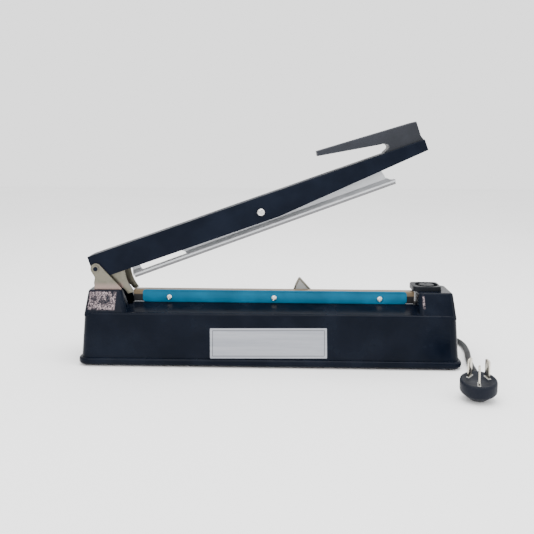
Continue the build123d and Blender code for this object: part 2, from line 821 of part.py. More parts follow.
def bar_spacers():
    """Two sleeves that centre the press bar between the arm's walls."""
    sleeves = []
    reach = arm_inner - bar_web / 2 - 0.2
    for side in (-1, 1):
        middle = side * (bar_web / 2 + 0.1 + reach / 2)
        tube = rod_y(bar_screw_at, -bar_screw_below, middle - reach / 2, middle + reach / 2, 3.6)
        sleeves.append(tube - rod_y(bar_screw_at, -bar_screw_below, -30, 30, arm_screw / 2 + 0.05))
    return on_arm(Compound(sleeves))


def element_clamps():
    """Brass blocks that grip the two ends of the heating element."""
    clamps = []
    for x in (seal_left + 0.5, seal_right - 0.5):
        clamps.append(block(x - 0.45, x + 0.45, -2.4, 2.4, roof_height + 2, seal_top - 0.7))
    return Compound(clamps)


nodes = {
    "base_housing": base_housing,
    "bottom_plate": bottom_plate,
    "rubber_feet": rubber_feet,
    "bottom_screws": bottom_screws,
    "hinge_bracket": hinge_bracket,
    "bracket_screws": bracket_screws,
    "hinge_pin": hinge_pin,
    "seal_bar": seal_bar,
    "insulating_strip": insulating_strip,
    "heating_element": heating_element,
    "element_clamps": element_clamps,
    "ptfe_tape": ptfe_tape,
    "front_strip": lambda: retaining_strip(-1),
    "rear_strip": lambda: retaining_strip(1),
    "front_strip_screws": lambda: strip_screw_set(-1),
    "rear_strip_screws": lambda: strip_screw_set(1),
    "timer_housing": timer_housing,
    "timer_knob": timer_knob,
    "timer_pot": timer_pot,
    "timer_board": timer_board,
    "transformer": transformer,
    "micro_switch": micro_switch,
    "switch_lever": switch_lever,
    "switch_cam": switch_cam,
    "fuse_holder": fuse_holder,
    "label_plate": label_plate,
    "strain_relief": strain_relief,
    "cord_lead_in": cord_lead_in,
    "cord_coil": cord_coil,
    "cord_lead_out": cord_lead_out,
    "plug_body": plug_body,
    "plug_blades": plug_blades,
    "arm_channel": arm_channel,
    "arm_bracket": arm_bracket,
    "pivot_bush": pivot_bush,
    "return_spring": return_spring,
    "handle_grip": handle_grip,
    "handle_screws": handle_screws,
    "bar_screw": bar_screw,
    "bar_nut": bar_nut,
    "bar_spacers": bar_spacers,
    "press_bar": press_bar,
    "silicone_strip": silicone_strip,
}

os.makedirs("parts", exist_ok=True)
for name, make in nodes.items():
    export_step(make(), "parts/" + name + ".step")
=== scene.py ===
"""Looks of a manual impulse heat sealer, in metres, around its packed construction.

Each finish is one function, and each added piece rides on the body that carries it.
"""
import json
import math

import bmesh
import bpy
from mathutils import Matrix, Vector


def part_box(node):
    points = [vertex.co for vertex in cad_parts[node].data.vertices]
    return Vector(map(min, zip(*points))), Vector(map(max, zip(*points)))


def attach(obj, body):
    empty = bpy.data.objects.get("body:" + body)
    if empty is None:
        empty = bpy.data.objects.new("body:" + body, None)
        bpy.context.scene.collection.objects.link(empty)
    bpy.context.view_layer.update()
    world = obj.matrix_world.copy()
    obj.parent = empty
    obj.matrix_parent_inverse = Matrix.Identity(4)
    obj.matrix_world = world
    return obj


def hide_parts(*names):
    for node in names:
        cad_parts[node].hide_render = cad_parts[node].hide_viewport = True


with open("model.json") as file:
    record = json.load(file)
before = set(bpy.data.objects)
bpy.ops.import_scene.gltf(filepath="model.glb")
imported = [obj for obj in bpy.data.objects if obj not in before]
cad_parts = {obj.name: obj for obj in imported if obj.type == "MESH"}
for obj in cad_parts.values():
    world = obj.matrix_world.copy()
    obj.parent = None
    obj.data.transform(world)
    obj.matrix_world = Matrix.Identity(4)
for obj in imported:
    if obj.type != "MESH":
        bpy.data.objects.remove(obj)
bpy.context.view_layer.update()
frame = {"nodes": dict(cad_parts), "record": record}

MM = 0.001
JOINTS = {joint["name"]: joint for joint in frame["record"]["behaviour"]["joints"]}
PIVOT = Vector(JOINTS["arm_hinge"]["pos_m"])
OPEN_ANGLE = math.radians(19.6)

# Camera
PHOTO_SIZE = 534
CAMERA_PLACE = (0.01705, -0.7194, 0.22536)
CAMERA_YAW = 0.0285
CAMERA_PITCH = -0.06
CAMERA_ROLL = 0.0041
FOCAL_PIXELS = 679.1
SHIFT_PIXELS = -79.4
SENSOR_WIDTH = 36.0

# Mains lead, the same route as the construction's
CORD_RADIUS = 3.0 * MM
COIL_CENTRE = (118.0, 106.0)
COIL_RADII = (39.2, 33.0, 26.8)
COIL_LAYERS = (9.4, 3.2)
COIL_POINTS = 16
LEAD_OUT = [(142, 72), (165, 74.2), (190.7, 78.6), (210, 68), (218, 50), (216.5, 21),
            (211, -4.5), (206.5, -31), (205, -56)]
CORD_FLOOR = 3.1

# Three-pin plug, lying on its back and tipped to the front
PLUG_CENTRE = (190.5, -116.0)
PLUG_REACH = 28.4
PLUG_TURN = math.radians(77)
PLUG_TIP = math.radians(10)
PLUG_LIFT = 1.75
PLUG_PINS = [(-7.6, 4.8, -30), (7.6, 4.8, 30), (0, -9, 0)]
TAIL_HEIGHT = 4.6

# Retaining strips and tape
FRONT_STRIP_TOP = 73.1
STRIP_FACE = 7.3
TAPE_THICKNESS = 0.13

# Timer's dial
DIAL_CENTRE = (166.8, 2.0)
DIAL_STEPS = 72


def make_camera():
    """Camera at the photograph's place, nearly level, with a small downward shift."""
    data = bpy.data.cameras.new("camera")
    camera = bpy.data.objects.new("camera", data)
    bpy.context.scene.collection.objects.link(camera)
    forward = Vector((-math.sin(CAMERA_YAW) * math.cos(CAMERA_PITCH),
                      math.cos(CAMERA_YAW) * math.cos(CAMERA_PITCH), math.sin(CAMERA_PITCH)))
    level = Vector((math.cos(CAMERA_YAW), math.sin(CAMERA_YAW), 0))
    upright = level.cross(forward)
    right = level * math.cos(CAMERA_ROLL) + upright * math.sin(CAMERA_ROLL)
    up = upright * math.cos(CAMERA_ROLL) - level * math.sin(CAMERA_ROLL)
    turn = Matrix((right, up, -forward)).transposed()
    camera.matrix_world = Matrix.Translation(CAMERA_PLACE) @ turn.to_4x4()
    data.sensor_width = SENSOR_WIDTH
    data.lens = FOCAL_PIXELS / PHOTO_SIZE * SENSOR_WIDTH
    data.shift_y = SHIFT_PIXELS / PHOTO_SIZE
    data.clip_start = 0.01
    data.clip_end = 20
    bpy.context.scene.camera = camera


def add_object(name, data):
    """A new object in the scene, standing at the origin."""
    made = bpy.data.objects.new(name, data)
    bpy.context.scene.collection.objects.link(made)
    return made


def step(value):
    """Smooth change from 0 to 1."""
    value = min(1.0, max(0.0, value))
    return value * value * (3 - 2 * value)


def coil_points():
    """Six turns of the put-away lead: three inwards on top, three outwards below."""
    outer, middle, inner = COIL_RADII
    stops = [outer, middle, inner, inner, middle, outer]
    count = int(5.75 * COIL_POINTS)
    points = []
    for i in range(1, count + 1):
        turn = i / COIL_POINTS
        whole = min(5, int(turn + 0.12))
        before = stops[max(0, whole - 1)]
        change = step((turn - (whole - 0.12)) / 0.24) if whole else 1.0
        radius = before + (stops[whole] - before) * change
        height = COIL_LAYERS[0] + (COIL_LAYERS[1] - COIL_LAYERS[0]) * step((turn - 2.86) / 0.28)
        angle = 2 * math.pi * turn
        points.append((COIL_CENTRE[0] + radius * math.cos(angle),
                       COIL_CENTRE[1] + radius * math.sin(angle), height))
    return points


def cord_route():
    """The whole lead from the strain relief to the plug's tail, in millimetres."""
    relief_low, relief_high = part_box("strain_relief")
    x = (relief_low.x + relief_high.x) / 2 / MM
    z = (relief_low.z + relief_high.z) / 2 / MM
    start = relief_high.y / MM
    tail = [(*plug_tail(18.0), CORD_FLOOR + 0.3), (*plug_tail(0.0), TAIL_HEIGHT)]
    route = [(x, start, z), (x, start + 14.6, z), (162, 93, 18.5), (157, 104, 11.5)]
    route += coil_points()
    route += [(px, py, CORD_FLOOR) for px, py in LEAD_OUT]
    route += tail
    return [Vector(point) * MM for point in route]


def plug_tail(beyond):
    """A point on the axis of the plug's tail, from its end outwards."""
    reach = PLUG_REACH + beyond
    return (PLUG_CENTRE[0] + reach * math.cos(PLUG_TURN), PLUG_CENTRE[1] + reach * math.sin(PLUG_TURN))


def spline_length(curve_object):
    """Length of a curve's own centreline."""
    copy = curve_object.data.copy()
    copy.bevel_depth = 0
    probe = add_object("length_probe", copy)
    mesh = bpy.data.meshes.new_from_object(probe.evaluated_get(bpy.context.evaluated_depsgraph_get()))
    total = sum((mesh.vertices[a].co - mesh.vertices[b].co).length
                for a, b in (edge.vertices for edge in mesh.edges))
    bpy.data.objects.remove(probe)
    bpy.data.meshes.remove(mesh)
    bpy.data.curves.remove(copy)
    return total


def make_cord(finish):
    """Round PVC lead on one smooth NURBS line."""
    data = bpy.data.curves.new("mains_lead", "CURVE")
    data.dimensions = "3D"
    data.bevel_depth = CORD_RADIUS
    data.bevel_resolution = 6
    data.resolution_u = 8
    route = cord_route()
    spline = data.splines.new("NURBS")
    spline.points.add(len(route) - 1)
    for point, place in zip(spline.points, route):
        point.co = (*place, 1)
    spline.order_u = 3
    spline.use_endpoint_u = True
    data.materials.append(finish)
    lead = add_object("mains_lead", data)
    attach(lead, "base")
    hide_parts("cord_lead_in", "cord_coil", "cord_lead_out")
    return lead, route


make_camera()


# Shader building

def shader_node(tree, kind, settings=None, **inputs):
    """A shader node with its settings and inputs; an input is a value or another socket."""
    made = tree.nodes.new("ShaderNode" + kind)
    for name, value in (settings or {}).items():
        setattr(made, name, value)
    for name, value in inputs.items():
        connect(tree, made, name.replace("_", " "), value)
    return made


def connect(tree, made, name, value):
    """Set or link the input socket with that name or number."""
    socket = made.inputs[int(name)] if name.isdigit() else made.inputs[name]
    if isinstance(value, bpy.types.NodeSocket):
        tree.links.new(value, socket)
    else:
        socket.default_value = value


def maths(tree, operation, first, second=0.0):
    """Result of one sum."""
    made = shader_node(tree, "Math", {"operation": operation})
    connect(tree, made, "0", first)
    connect(tree, made, "1", second)
    return made.outputs[0]


def spread_range(tree, value, low, high, to_low=0.0, to_high=1.0):
    """A value moved smoothly from one range to another and held at its ends."""
    made = shader_node(tree, "MapRange", {"interpolation_type": "SMOOTHSTEP"})
    for name, amount in (("Value", value), ("From Min", low), ("From Max", high),
                         ("To Min", to_low), ("To Max", to_high)):
        connect(tree, made, name, amount)
    return made.outputs["Result"]


def mixed_colour(tree, share, first, second):
    """One colour laid over another by a share from 0 to 1."""
    made = shader_node(tree, "Mix", {"data_type": "RGBA"})
    connect(tree, made, "0", share)
    for name, colour in (("6", first), ("7", second)):
        connect(tree, made, name, (*colour, 1) if isinstance(colour, tuple) else colour)
    return made.outputs[2]


def toned(tree, value, low, high, first, second, most=1.0):
    """One colour giving way to another as a value goes from low to high."""
    return mixed_colour(tree, spread_range(tree, value, low, high, 0.0, most), first, second)


def tinted(colour, times, plus=0.0):
    """A lighter or darker shade of a colour."""
    return tuple(min(1.0, part * times + plus) for part in colour)


def stretched(tree, place, scale):
    """Object coordinates drawn out along some axes."""
    made = shader_node(tree, "Mapping", Vector=place)
    made.inputs["Scale"].default_value = scale
    return made.outputs["Vector"]


def noise_value(tree, place, scale, detail=2.0, roughness=0.5):
    """Grey noise at a size given by its scale per metre."""
    made = shader_node(tree, "TexNoise", Vector=place, Detail=detail, Roughness=roughness)
    connect(tree, made, "Scale", scale)
    return made.outputs["Fac"]


def new_effect(name, inputs, outputs):
    """An empty effect with named inputs and outputs; returns its tree and its two ends."""
    tree = bpy.data.node_groups.new(name, "ShaderNodeTree")
    for label, value in inputs.items():
        kind = "NodeSocketVector" if value is None else "NodeSocketFloat"
        socket = tree.interface.new_socket(name=label, in_out="INPUT", socket_type=kind)
        if value is not None:
            socket.default_value = value
    for label in outputs:
        tree.interface.new_socket(name=label, in_out="OUTPUT", socket_type="NodeSocketFloat")
    return tree, tree.nodes.new("NodeGroupInput").outputs, tree.nodes.new("NodeGroupOutput")


def moulded_skin():
    """Fine ripple of gloss paint or moulded plastic, with slow mottling."""
    tree, given, out = new_effect("moulded_skin", {"Place": None, "Ripple Size": 900.0, "Grain": 0.2},
                                  ["Height", "Mottle"])
    ripple = noise_value(tree, given["Place"], given["Ripple Size"])
    finer = maths(tree, "MULTIPLY", given["Ripple Size"], 5.0)
    grain = maths(tree, "MULTIPLY", noise_value(tree, given["Place"], finer, 1.0), given["Grain"])
    connect(tree, out, "Height", maths(tree, "ADD", ripple, grain))
    connect(tree, out, "Mottle", noise_value(tree, given["Place"], 28.0, 3.0))
    return tree


def settled_dust():
    """Specks and a thin film of dust, mostly on faces that look up."""
    tree, given, out = new_effect("settled_dust", {"Place": None, "Amount": 0.3, "Speck Size": 1700.0},
                                  ["Dust"])
    normal = shader_node(tree, "NewGeometry").outputs["Normal"]
    upward = shader_node(tree, "SeparateXYZ", Vector=normal).outputs["Z"]
    facing = spread_range(tree, upward, -0.1, 1.0, 0.25, 1.0)
    specks = spread_range(tree, noise_value(tree, given["Place"], given["Speck Size"], 1.0), 0.66, 0.74)
    film = spread_range(tree, noise_value(tree, given["Place"], 60.0, 4.0, 0.65), 0.45, 0.8, 0.0, 0.35)
    both = maths(tree, "MAXIMUM", specks, film)
    amount = maths(tree, "MULTIPLY", facing, given["Amount"])
    connect(tree, out, "Dust", maths(tree, "MULTIPLY", both, amount))
    return tree


def edge_wear():
    """Where a finish is rubbed along its sharp edges."""
    tree, given, out = new_effect("edge_wear", {"Place": None, "Amount": 0.5, "Patch Size": 220.0},
                                  ["Worn"])
    normal = shader_node(tree, "NewGeometry").outputs["Normal"]
    rounded = shader_node(tree, "Bevel", {"samples": 4}, Radius=0.0005).outputs["Normal"]
    alike = shader_node(tree, "VectorMath", {"operation": "DOT_PRODUCT"})
    connect(tree, alike, "0", normal)
    connect(tree, alike, "1", rounded)
    edge = spread_range(tree, alike.outputs["Value"], 0.995, 0.9)
    blotches = noise_value(tree, given["Place"], given["Patch Size"], 3.0, 0.7)
    patches = spread_range(tree, blotches, 0.42, 0.62)
    worn = maths(tree, "MULTIPLY", edge, patches)
    connect(tree, out, "Worn", maths(tree, "MULTIPLY", worn, given["Amount"]))
    return tree


def drawn_lines():
    """Fine lines that drawing or brushing leaves on metal, along the piece."""
    tree, given, out = new_effect("drawn_lines", {"Along": None, "Line Size": 900.0}, ["Line", "Cloud"])
    fine = noise_value(tree, given["Along"], given["Line Size"], 2.0, 0.6)
    connect(tree, out, "Line", fine)
    wide = maths(tree, "MULTIPLY", given["Line Size"], 0.08)
    connect(tree, out, "Cloud", noise_value(tree, given["Along"], wide, 3.0))
    return tree


def cloth_weave():
    """Plain weave, with a thread's height and the dark gaps between threads."""
    tree, given, out = new_effect("cloth_weave", {"Flat": None, "Thread": 0.0006}, ["Height", "Gap"])
    parts = shader_node(tree, "SeparateXYZ", Vector=given["Flat"])
    angle = maths(tree, "DIVIDE", math.pi, given["Thread"])
    warp = maths(tree, "SINE", maths(tree, "MULTIPLY", parts.outputs["X"], angle))
    weft = maths(tree, "SINE", maths(tree, "MULTIPLY", parts.outputs["Y"], angle))
    crossing = maths(tree, "MULTIPLY", warp, weft)
    over = maths(tree, "ABSOLUTE", crossing)
    connect(tree, out, "Height", over)
    connect(tree, out, "Gap", spread_range(tree, over, 0.25, 0.0))
    return tree


EFFECTS = {make.__name__: make() for make in
           (moulded_skin, settled_dust, edge_wear, drawn_lines, cloth_weave)}


def effect(tree, name, **inputs):
    """One of the shared effects placed in a material."""
    made = tree.nodes.new("ShaderNodeGroup")
    made.node_tree = EFFECTS[name]
    for label, value in inputs.items():
        connect(tree, made, label.replace("_", " "), value)
    return made.outputs


def new_finish(name):
    """An empty material; returns it, its tree, its surface shader and its object coordinates."""
    material = bpy.data.materials.new(name)
    material.use_nodes = True
    tree = material.node_tree
    surface = tree.nodes["Principled BSDF"]
    place = shader_node(tree, "TexCoord").outputs["Object"]
    return material, tree, surface, place


def raise_surface(tree, surface, height, strength, depth):
    """Feed a height to the surface as a bump."""
    bump = shader_node(tree, "Bump", Height=height)
    bump.inputs["Strength"].default_value = strength
    bump.inputs["Distance"].default_value = depth
    connect(tree, surface, "Normal", bump.outputs["Normal"])


def painted(name, colour, light_colour, roughness, ripple=900.0, ripple_depth=0.00006, strength=0.25,
            dust=0.25, wear=0.35, gloss=0.5):
    """Paint or moulded plastic: ripple, slow mottling, rubbed edges and dust."""
    material, tree, surface, place = new_finish(name)
    skin = effect(tree, "moulded_skin", Place=place, Ripple_Size=ripple)
    worn = effect(tree, "edge_wear", Place=place, Amount=wear)["Worn"]
    dust_share = effect(tree, "settled_dust", Place=place, Amount=dust)["Dust"]
    mottled = toned(tree, skin["Mottle"], 0.35, 0.75, colour, tinted(colour, 1.5, 0.002))
    rubbed = mixed_colour(tree, worn, mottled, light_colour)
    dusty = mixed_colour(tree, dust_share, rubbed, (0.42, 0.41, 0.39))
    connect(tree, surface, "Base Color", dusty)
    rough = spread_range(tree, skin["Mottle"], 0.3, 0.75, roughness * 0.8, roughness * 1.3)
    rough = maths(tree, "ADD", rough, maths(tree, "MULTIPLY", dust_share, 0.5))
    connect(tree, surface, "Roughness", maths(tree, "MINIMUM", rough, 0.95))
    connect(tree, surface, "Specular IOR Level", gloss)
    raise_surface(tree, surface, skin["Height"], strength, ripple_depth)
    return material


def metal(name, colour, second_colour, roughness, drawn=(0.04, 1.0, 1.0), line_size=2600.0,
          strength=0.2, wear=0.3, metallic=1.0, dust=0.12):
    """Bare or plated metal with drawn lines, clouding and rubbed edges."""
    material, tree, surface, place = new_finish(name)
    lines = effect(tree, "drawn_lines", Along=stretched(tree, place, drawn), Line_Size=line_size)
    worn = effect(tree, "edge_wear", Place=place, Amount=wear)["Worn"]
    dust_share = effect(tree, "settled_dust", Place=place, Amount=dust)["Dust"]
    clouded = toned(tree, lines["Cloud"], 0.3, 0.7, colour, second_colour)
    lined = toned(tree, lines["Line"], 0.4, 0.8, clouded, tinted(colour, 0.72), 0.5)
    rubbed = mixed_colour(tree, worn, lined, tinted(colour, 1.35, 0.05))
    connect(tree, surface, "Base Color", mixed_colour(tree, dust_share, rubbed, (0.4, 0.39, 0.37)))
    connect(tree, surface, "Metallic", metallic)
    connect(tree, surface, "Roughness",
            spread_range(tree, lines["Cloud"], 0.25, 0.75, roughness * 0.75, roughness * 1.3))
    raise_surface(tree, surface, lines["Line"], strength, 0.00004)
    return material


def rubbery(name, colour, roughness, grain=2600.0, dust=0.3, sheen=0.15):
    """Rubber, silicone or PVC: fine grain, pale bloom and dust."""
    material, tree, surface, place = new_finish(name)
    skin = effect(tree, "moulded_skin", Place=place, Ripple_Size=grain, Grain=0.6)
    dust_share = effect(tree, "settled_dust", Place=place, Amount=dust)["Dust"]
    bloom = toned(tree, skin["Mottle"], 0.45, 0.8, colour, tinted(colour, 1.4, 0.002), 0.35)
    connect(tree, surface, "Base Color", mixed_colour(tree, dust_share, bloom, (0.45, 0.44, 0.42)))
    connect(tree, surface, "Roughness",
            spread_range(tree, skin["Mottle"], 0.3, 0.7, roughness * 0.85, min(0.95, roughness * 1.2)))
    connect(tree, surface, "Sheen Weight", sheen)
    connect(tree, surface, "Sheen Roughness", 0.4)
    connect(tree, surface, "Specular IOR Level", 0.12)
    raise_surface(tree, surface, skin["Height"], 0.3, 0.00005)
    return material


def plated_zinc():
    """Olive-grey passivated zinc, pinkish in patches, with a painted pink highlight at the foot of the
    ears.
    """
    material, tree, surface, place = new_finish("plated_zinc")
    lines = effect(tree, "drawn_lines", Along=stretched(tree, place, (1.0, 1.0, 0.25)),
                   Line_Size=1500.0)
    clouds = noise_value(tree, place, 75.0, 3.0, 0.6)
    olive = toned(tree, clouds, 0.35, 0.6, (0.10, 0.098, 0.075), (0.15, 0.14, 0.11))
    parts = shader_node(tree, "SeparateXYZ", Vector=place)
    # Painted highlight: a lighter pink band low on the ears, at their foot
    painted_foot_highlight = maths(tree, "MULTIPLY", spread_range(tree, parts.outputs["Z"], 0.0835, 0.077),
                     spread_range(tree, parts.outputs["X"], -0.1535, -0.1555))
    # Pink of the plating in patches, together with the painted highlight at the foot of the ears
    pink_tint_and_highlight = maths(tree, "MAXIMUM", spread_range(tree, clouds, 0.6, 0.8, 0.0, 0.5), painted_foot_highlight)
    pink = mixed_colour(tree, pink_tint_and_highlight, olive, (0.24, 0.175, 0.155))
    lined = toned(tree, lines["Line"], 0.35, 0.8, pink, (0.16, 0.14, 0.10), 0.35)
    worn = effect(tree, "edge_wear", Place=place, Amount=0.5)["Worn"]
    connect(tree, surface, "Base Color", mixed_colour(tree, worn, lined, (0.42, 0.40, 0.36)))
    connect(tree, surface, "Metallic", 0.75)
    connect(tree, surface, "Roughness", spread_range(tree, clouds, 0.3, 0.7, 0.3, 0.5))
    raise_surface(tree, surface, lines["Line"], 0.25, 0.00004)
    return material


def glass_cloth():
    """Tan non-stick glass cloth, browned along the element, with painted shade low on the bar's sides.
    """
    material, tree, surface, place = new_finish("glass_cloth")
    flat = shader_node(tree, "UVMap", {"uv_map": "cut"}).outputs["UV"]
    weave = effect(tree, "cloth_weave", Flat=flat, Thread=0.00055)
    across = shader_node(tree, "SeparateXYZ", Vector=flat).outputs["Y"]
    off_line = maths(tree, "ABSOLUTE", across)
    along = noise_value(tree, stretched(tree, place, (0.3, 1, 1)), 160.0, 3.0, 0.6)
    tan = toned(tree, along, 0.3, 0.7, (0.125, 0.088, 0.05), (0.175, 0.13, 0.08))
    browned = toned(tree, off_line, 0.0028, 0.0008, tan, (0.12, 0.075, 0.04), 0.4)
    # Height up the bar's sides, which sets where the painted shade starts
    height = shader_node(tree, "SeparateXYZ", Vector=place).outputs["Z"]
    woven = mixed_colour(tree, maths(tree, "MULTIPLY", weave["Gap"], 0.45), browned,
                         (0.08, 0.055, 0.03))
    # Painted shade: the cloth turns near black below the bar's top, standing for the shade low on its
    # sides
    connect(tree, surface, "Base Color",
            toned(tree, height, 0.0688, 0.0672, woven, (0.004, 0.004, 0.005)))
    connect(tree, surface, "Roughness", spread_range(tree, along, 0.3, 0.7, 0.34, 0.5))
    connect(tree, surface, "Coat Weight", 0.08)
    connect(tree, surface, "Coat Roughness", 0.3)
    connect(tree, surface, "Specular IOR Level", 0.15)
    raise_surface(tree, surface, weave["Height"], 0.1, 0.00002)
    return material


def label_foil():
    """Brushed silver foil with a thin dark line inside its edge."""
    material, tree, surface, place = new_finish("label_foil")
    low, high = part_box("label_plate")
    middle = (low + high) / 2
    moved = shader_node(tree, "Mapping", {"vector_type": "POINT"}, Vector=place)
    moved.inputs["Location"].default_value = -middle
    parts = shader_node(tree, "SeparateXYZ", Vector=moved.outputs["Vector"])
    tilt = math.radians(0.7)
    slope = maths(tree, "MULTIPLY", parts.outputs["X"], math.tan(tilt))
    sideways = maths(tree, "ABSOLUTE", parts.outputs["X"])
    upwards = maths(tree, "ABSOLUTE", maths(tree, "SUBTRACT", parts.outputs["Z"], slope))
    inset_x = maths(tree, "SUBTRACT", 0.0571, sideways)
    inset_z = maths(tree, "SUBTRACT", 0.0129, upwards)
    inside = maths(tree, "MINIMUM", inset_x, inset_z)
    line = spread_range(tree, maths(tree, "ABSOLUTE", inside), 0.00034, 0.0002)
    lines = effect(tree, "drawn_lines", Along=stretched(tree, place, (0.03, 1, 1)), Line_Size=3200.0)
    foil = toned(tree, lines["Cloud"], 0.3, 0.7, (0.25, 0.26, 0.29), (0.31, 0.32, 0.35))
    streaked = toned(tree, lines["Line"], 0.4, 0.8, foil, (0.18, 0.19, 0.21), 0.3)
    connect(tree, surface, "Base Color", mixed_colour(tree, line, streaked, (0.03, 0.03, 0.035)))
    connect(tree, surface, "Metallic", 0.65)
    connect(tree, surface, "Roughness", spread_range(tree, lines["Cloud"], 0.3, 0.7, 0.3, 0.42))
    raise_surface(tree, surface, lines["Line"], 0.15, 0.00003)
    return material


def patch_mask(tree, place, low, high, edge):
    """Share from 0 to 1 inside a box of object coordinates, fading over its edge."""
    parts = shader_node(tree, "SeparateXYZ", Vector=place)
    share = 1.0
    for axis, start, end in zip("XYZ", low, high):
        inside = maths(tree, "MINIMUM", maths(tree, "SUBTRACT", parts.outputs[axis], start),
                       maths(tree, "SUBTRACT", end, parts.outputs[axis]))
        share = maths(tree, "MULTIPLY", spread_range(tree, inside, 0.0, edge), share)
    return share


def housing_moulding():
    """Gloss moulding of the base, with a painted glare of pale specks on the left block and a painted
    highlight streak on the right.
    """
    material = painted("gloss_housing", (0.0012, 0.0026, 0.0065), (0.012, 0.014, 0.02), 0.24,
                       ripple=420.0, ripple_depth=0.00005, dust=0.02, wear=0.2, gloss=0.06)
    tree = material.node_tree
    surface = tree.nodes["Principled BSDF"]
    place = shader_node(tree, "TexCoord").outputs["Object"]
    plain = surface.inputs["Base Color"].links[0].from_socket
    specks = spread_range(tree, noise_value(tree, place, 700.0, 4.0, 0.75), 0.46, 0.56)
    cloud = spread_range(tree, noise_value(tree, place, 130.0, 3.0, 0.6), 0.36, 0.5, 0.15, 1.0)
    # Painted glare: pale speckled reflection on the left block's sloped front face
    painted_glare = maths(tree, "MULTIPLY", maths(tree, "MULTIPLY", specks, cloud),
                 patch_mask(tree, place, (-0.189, -0.045, 0.0555), (-0.159, -0.015, 0.0745), 0.0022))
    # Painted highlight: a thin bright streak on the right block's edge
    painted_edge_highlight = maths(tree, "MULTIPLY", specks,
                  patch_mask(tree, place, (0.1575, -0.045, 0.060), (0.1605, -0.015, 0.0725), 0.0012))
    share = maths(tree, "MULTIPLY", maths(tree, "MAXIMUM", painted_glare, painted_edge_highlight), 0.85)
    # Pale pinkish grey of the painted glare and painted highlight, laid over the moulding's colour
    connect(tree, surface, "Base Color", mixed_colour(tree, share, plain, (0.34, 0.27, 0.28)))
    return material


FINISHES = {
    "housing_black": housing_moulding,
    "arm_black": lambda: painted("arm_enamel", (0.0016, 0.0032, 0.008), (0.01, 0.012, 0.018), 0.45,
                                 ripple=700.0, ripple_depth=0.00006, dust=0.02, wear=0.25, gloss=0.06),
    "handle_black": lambda: painted("handle_moulding", (0.011, 0.0125, 0.017), (0.04, 0.04, 0.045), 0.5,
                                    ripple=2400.0, ripple_depth=0.00012, strength=0.5, dust=0.06,
                                    wear=0.2, gloss=0.2),
    "zinc": plated_zinc,
    "bright_steel": lambda: metal("bright_steel", (0.62, 0.61, 0.59), (0.70, 0.69, 0.66), 0.24,
                                  drawn=(1, 1, 1), line_size=900.0),
    "aluminium": lambda: metal("drawn_aluminium", (0.42, 0.43, 0.45), (0.50, 0.51, 0.53), 0.45,
                               drawn=(0.02, 1, 1), metallic=0.35),
    "silicone": lambda: rubbery("grey_silicone", (0.17, 0.17, 0.175), 0.62),
    "teal_strip": lambda: painted("teal_lacquer", (0.0001, 0.075, 0.14), (0.03, 0.11, 0.15), 0.45,
                                  ripple=1500.0, dust=0.02, wear=0.4, gloss=0.12),
    "ptfe": glass_cloth,
    "label_metal": label_foil,
    "rubber_black": lambda: rubbery("foot_rubber", (0.012, 0.012, 0.013), 0.75),
    "cord_black": lambda: rubbery("cord_sheath", (0.0015, 0.0022, 0.004), 0.5, grain=3000.0,
                                  dust=0.05, sheen=0.03),
    "plug_black": lambda: rubbery("plug_moulding", (0.0025, 0.004, 0.009), 0.45, grain=1500.0,
                                  dust=0.06, sheen=0.03),
    "brass": lambda: metal("pin_plating", (0.52, 0.49, 0.42), (0.60, 0.57, 0.50), 0.28,
                           drawn=(1, 1, 0.1), line_size=1400.0),
    "steel_dark": lambda: metal("dark_steel", (0.13, 0.12, 0.10), (0.19, 0.18, 0.15), 0.42,
                                drawn=(1, 1, 0.2), line_size=1200.0),
    "grey_moulding": lambda: painted("grey_moulding", (0.25, 0.25, 0.24), (0.4, 0.4, 0.38), 0.5,
                                     ripple=1600.0),
    "board_green": lambda: painted("board_lacquer", (0.01, 0.09, 0.035), (0.03, 0.16, 0.08), 0.35),
    "core_steel": lambda: metal("core_sheets", (0.22, 0.21, 0.20), (0.30, 0.29, 0.27), 0.45,
                                drawn=(0.1, 0.1, 6.0), line_size=1800.0),
    "insulation": lambda: painted("insulating_cloth", (0.45, 0.38, 0.27), (0.5, 0.44, 0.33), 0.7,
                                  ripple=2200.0),
    "timer_black": lambda: painted("timer_moulding", (0.002, 0.003, 0.005), (0.02, 0.02, 0.025), 0.36,
                                   ripple=1200.0, dust=0.03, gloss=0.1),
}
MATERIALS = {slot: make() for slot, make in FINISHES.items()}


def dress_nodes():
    """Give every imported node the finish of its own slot."""
    slot_of = {sub["node"]: sub["material_slot"] for sub in frame["record"]["subparts"]}
    for name, solid in frame["nodes"].items():
        solid.data.materials.clear()
        solid.data.materials.append(MATERIALS[slot_of[name]])


